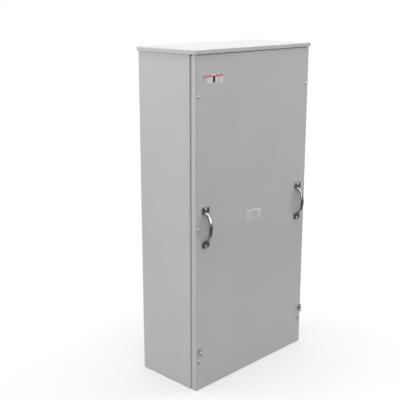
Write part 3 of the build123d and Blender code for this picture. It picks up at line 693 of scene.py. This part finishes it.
# %% Make the labels
upper_marks = [("red", field(-48.0, -4.5, 5.0, 13.6)),
               ("red", field(13.0, 48.0, 5.0, 13.6)),
               ("rose", field(-43.0, -11.0, 8.0, 10.6, layer=1.5)),
               ("rose", field(18.0, 42.0, 8.0, 10.6, layer=1.5)),
               ("black", field(-0.5, 11.0, -12.0, 10.5)),
               ("white", field(-25.0, -2.5, -13.5, -1.5)),
               ("white", field(12.5, 47.0, -13.0, 3.0)),
               ("grey", ring(31.0, -4.5, 4.6, 6.2))]
upper_marks += [("grey", field(-46.0, -27.5 - 3.0 * (line % 2), 1.0 - 3.4 * line, 2.4 - 3.4 * line))
                for line in range(4)]
make_label("upper_label_film", "upper_label", upper_marks)
centre_marks = []
for line in range(5):
    bar_left, bar_right = -31.0 + 3.0 * (line % 3), 31.0 - 5.0 * (line % 2)
    bar_low = 13.0 - 6.4 * line
    centre_marks.append(("grey", field(bar_left, bar_right, bar_low, bar_low + 1.6)))
make_label("centre_label_film", "centre_label", centre_marks)

# %% [markdown]
# ## Nuts and bolts of the terminals
#
# A nut is a hexagon whose corners are cut by a cone. A plain prism with bevelled edges would look wrong, as
# a real nut's flats end in curves. In polar form, the radius of a flat is the half width over the cosine of
# the angle from the flat's middle, and the cone lowers the top where that radius passes the half width.


# %% Chamfered hexagon
def hex_grid(flats, tall, bore, both_ends=True, per_flat=8):
    """Hexagon round a bore; a 30 degree cone cuts the corners of its front face, and of its back face."""
    angle = turn(6 * per_flat)
    half = flats / 2
    corner = half / np.cos((angle + np.pi / 6) % (np.pi / 3) - np.pi / 6)
    land = 0.95 * half
    drop = (corner - land) * math.tan(math.radians(30))
    lower = drop if both_ends else 0 * drop
    rows = [(bore, 0), (land, 0), (corner, lower), (corner, tall - drop), (land, tall), (bore, tall)]
    if bore > 0:
        rows.append((bore, 0))
    stack = []
    for radius, level in rows:
        radius, level = radius + 0 * angle, level + 0 * angle
        stack.append(np.stack((radius * np.cos(angle), radius * np.sin(angle), level), axis=-1))
    return np.stack(stack)


def on_axis(grid, x, y, z, backwards=False):
    """Places a grid with its height axis forward, or backwards when it sits behind its seat."""
    if backwards:
        grid = grid * (1, 1, -1)
    return stand_on_cover(grid, x, y, z)


# %% Places of the terminal hardware
bar_boxes = {phase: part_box(f"bus_bar_{phase}") for phase in "abcn"}
bar_x = [(low[0] + high[0]) / 2 for low, high in bar_boxes.values()]
bar_front = bar_boxes["a"][0][1]
bar_back = bar_boxes["a"][1][1]
rail_z = [sum(c[2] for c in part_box(f"{row}_insulator_a")) / 2 for row in ("lower", "upper")]
LANDING_PITCH = 44.45 * MM
landing_z = [sum(c[2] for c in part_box("landing_nuts")) / 2 + step * LANDING_PITCH / 2 for step in (-1, 1)]
lug_bolt_z = sum(c[2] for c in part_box("lug_nuts")) / 2
print("bars at x", [round(x, 3) for x in bar_x], "landings at z", [round(z, 4) for z in landing_z])

# %% Make the landing hardware
LANDING_RADIUS = 6.35 * MM
LANDING_CREST = 0.35 * MM
LANDING_PITCH_OF_THREAD = 1.954 * MM
LANDING_FLATS = 19.0 * MM
nut_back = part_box("landing_nuts")[1][1]
nut_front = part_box("landing_nuts")[0][1]
bolt_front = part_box("landing_bolts")[0][1]
bolt_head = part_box("landing_bolts")[1][1] - bar_back

landing_nut_grids, landing_bolt_grids = [], []
nut = hex_grid(LANDING_FLATS, nut_back - nut_front, LANDING_RADIUS + 0.1 * MM)
head = hex_grid(LANDING_FLATS, bolt_head, 0.0, both_ends=False)
length = bar_back - bolt_front
core = shank(LANDING_RADIUS - LANDING_CREST, 0.0, length)
threads = thread_ridge(LANDING_RADIUS - LANDING_CREST, LANDING_RADIUS, LANDING_PITCH_OF_THREAD,
                       length - 40.0 * MM, length - 0.6 * MM)
for x in bar_x:
    for z in landing_z:
        landing_nut_grids.append((on_axis(nut, x, nut_back, z), 0))
        landing_bolt_grids.append((on_axis(head, x, bar_back, z, backwards=True), 0))
        landing_bolt_grids.append((on_axis(core, x, bar_back, z), 0))
        landing_bolt_grids.append((on_axis(threads, x, bar_back, z), 0))
make_piece("landing_nut_set", landing_nut_grids, [zinc], "cabinet",
           replaces=["landing_nuts"])
make_piece("landing_bolt_set", landing_bolt_grids, [zinc], "cabinet",
           replaces=["landing_bolts"])

# %% Make the insulator and lug bolts
FIXING_RADIUS = 4.76 * MM
FIXING_FLATS = 14.3 * MM
FIXING_TALL = 6.0 * MM
FIXING_GRIP = 12.0 * MM

bar_bolt_grids = []
for x in bar_x:
    for z in rail_z:
        head = hex_grid(FIXING_FLATS, FIXING_TALL, 0.0, both_ends=False)
        bar_bolt_grids.append((on_axis(head, x, bar_front, z), 0))
        grip = shank(FIXING_RADIUS, 0.0, -(bar_back - bar_front) - FIXING_GRIP)
        bar_bolt_grids.append((on_axis(grip, x, bar_front, z), 0))
make_piece("bar_bolt_set", bar_bolt_grids, [zinc], "cabinet", replaces=["bar_bolts"])
lug_nut_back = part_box("lug_nuts")[1][1]
lug_nut = hex_grid(FIXING_FLATS, FIXING_TALL, FIXING_RADIUS + 0.1 * MM)
make_piece("lug_nut_set", [(on_axis(lug_nut, x, lug_nut_back, lug_bolt_z), 0) for x in bar_x], [zinc],
           "cabinet", replaces=["lug_nuts"])

# %% [markdown]
# ## The studio
#
# The photograph is a product shot on pure white, lit so evenly that each face has one tone all over. Sun
# lamps do that, because their light is the same everywhere, and a wide angle keeps their shadows soft. One
# comes from behind on the left, so the side wall is brighter than the front and the seam beside the cover
# stays dark. A weak wide one in front on the left puts a bright spot on each screw. One is straight above,
# for the roof.
#
# Chrome shows what stands round it, so its light is built from what it mirrors. The upper half of each bow
# mirrors an arc that climbs from the horizon on the right to nearly halfway up the sky. Two strip lamps
# follow that arc, 14 metres away, and they also light the front. The feet of the handles mirror the floor in
# front, so a dark card leans there. It is kept to reflections, and lights and shades nothing. The floor is
# pale, and a lift for the camera and for reflections makes it meet the white behind.

# %% Floor and backdrop
FLOOR_GREY = 0.30
FLOOR_LIFT = 0.46
FLOOR_SIZE = 14.0


def seen_by_camera_or_gloss(tree):
    """One where a camera, glossy or transmission ray looks, and nought for light on the object."""
    path = add_node(tree, "ShaderNodeLightPath")
    mirror_ray = add_node(tree, "ShaderNodeMath", operation="MAXIMUM")
    any_ray = add_node(tree, "ShaderNodeMath", operation="MAXIMUM")
    tree.links.new(path.outputs["Is Camera Ray"], mirror_ray.inputs[0])
    tree.links.new(path.outputs["Is Glossy Ray"], mirror_ray.inputs[1])
    tree.links.new(mirror_ray.outputs[0], any_ray.inputs[0])
    tree.links.new(path.outputs["Is Transmission Ray"], any_ray.inputs[1])
    return any_ray.outputs[0]


def stage_plane(name, corners, material):
    """A flat stage piece from its four corners."""
    mesh = bpy.data.meshes.new(name)
    mesh.from_pydata(corners, [], [(0, 1, 2, 3)])
    mesh.materials.append(material)
    plane = bpy.data.objects.new(name, mesh)
    bpy.context.scene.collection.objects.link(plane)
    return plane


floor_material = bpy.data.materials.new("studio_floor")
floor_material.use_nodes = True
floor_tree = floor_material.node_tree
floor_tree.nodes.clear()
floor_out = add_node(floor_tree, "ShaderNodeOutputMaterial")
floor_paper = add_node(floor_tree, "ShaderNodeBsdfDiffuse", Color=(FLOOR_GREY, FLOOR_GREY, FLOOR_GREY, 1))
floor_glow = add_node(floor_tree, "ShaderNodeEmission", Color=(FLOOR_LIFT, FLOOR_LIFT, FLOOR_LIFT, 1))
floor_total = add_node(floor_tree, "ShaderNodeAddShader")
floor_tree.links.new(seen_by_camera_or_gloss(floor_tree), floor_glow.inputs["Strength"])
floor_tree.links.new(floor_paper.outputs[0], floor_total.inputs[0])
floor_tree.links.new(floor_glow.outputs[0], floor_total.inputs[1])
floor_tree.links.new(floor_total.outputs[0], floor_out.inputs["Surface"])
half = FLOOR_SIZE / 2
stage_plane("floor", [(-half, -half, 0), (half, -half, 0), (half, half, 0), (-half, half, 0)], floor_material)
print("floor", FLOOR_SIZE, "m")

# %% World
WORLD_LIGHT = 0.28
world = bpy.data.worlds.new("studio")
bpy.context.scene.world = world
world.use_nodes = True
world_tree = world.node_tree
world_tree.nodes.clear()
world_out = add_node(world_tree, "ShaderNodeOutputWorld")
world_back = add_node(world_tree, "ShaderNodeBackground", Color=(1, 1, 1, 1))
world_level = add_node(world_tree, "ShaderNodeMapRange", To_Min=WORLD_LIGHT, To_Max=1.0)
world_tree.links.new(seen_by_camera_or_gloss(world_tree), world_level.inputs["Value"])
world_tree.links.new(world_level.outputs["Result"], world_back.inputs["Strength"])
world_tree.links.new(world_back.outputs[0], world_out.inputs["Surface"])
print("world", WORLD_LIGHT)


# %% Lamps
HANDLES = Vector((0, 0, 0.6))
STRIP_WIDE = 10.5
STRIP_BRIGHTNESS = 4.75


def toward(azimuth, elevation):
    """Unit direction from its angles in degrees: azimuth 0 is to the right, and -90 straight in front."""
    a, e = math.radians(azimuth), math.radians(elevation)
    return Vector((math.cos(e) * math.cos(a), math.cos(e) * math.sin(a), math.sin(e)))


def add_lamp(name, kind, turned, strength, place=(0, 0, 0), **settings):
    """A lamp that shines along the -Z axis of its rotation."""
    data = bpy.data.lights.new(name, kind)
    data.energy = strength
    for key, value in settings.items():
        setattr(data, key, value)
    lamp = bpy.data.objects.new(name, data)
    lamp.location = place
    lamp.rotation_euler = turned.to_euler()
    bpy.context.scene.collection.objects.link(lamp)
    print("lamp", name, kind, round(strength, 2))


def add_sun(name, way, strength, wide):
    """A sun in that direction, as wide as that angle in degrees."""
    add_lamp(name, "SUN", way.to_track_quat("Z", "Y"), strength, angle=math.radians(wide))


def add_strip(name, start, end, wide, brightness, away=14.0):
    """A long lamp that spans two directions as seen from the handles; its power is brightness times pi
    times its area."""
    middle = (start + end).normalized()
    along = (end - start).normalized()
    axes = Matrix((along.cross(middle), along, middle)).transposed()
    size_y = 2 * away * math.tan(start.angle(end) / 2)
    size = 2 * away * math.tan(math.radians(wide) / 2)
    add_lamp(name, "AREA", axes, brightness * math.pi * size * size_y, place=middle * away + HANDLES,
             shape="RECTANGLE", size=size, size_y=size_y)


add_sun("back_left_sun", toward(130, 10), 1.86, 30)
add_sun("front_left_sun", toward(-118, 25), 0.66, 50)
add_sun("top_sun", toward(0, 90), 3.95, 50)
add_strip("right_strip_low", toward(-46, -2), toward(-42, 24), STRIP_WIDE, STRIP_BRIGHTNESS)
add_strip("right_strip_high", toward(-42, 22), toward(4, 47), STRIP_WIDE, STRIP_BRIGHTNESS)

# %% Dark card
card_material, _, _ = new_material("dark_card", (0.24, 0.24, 0.24), roughness=0.9)
dark_card = stage_plane("dark_card", [(-0.40, -1.10, 0.0), (0.95, -0.33, 0.0), (1.45, -0.70, 0.42),
                                      (-0.35, -1.60, 0.42)], card_material)
dark_card.visible_camera = dark_card.visible_shadow = dark_card.visible_diffuse = False
print("card reflects at 0.24")
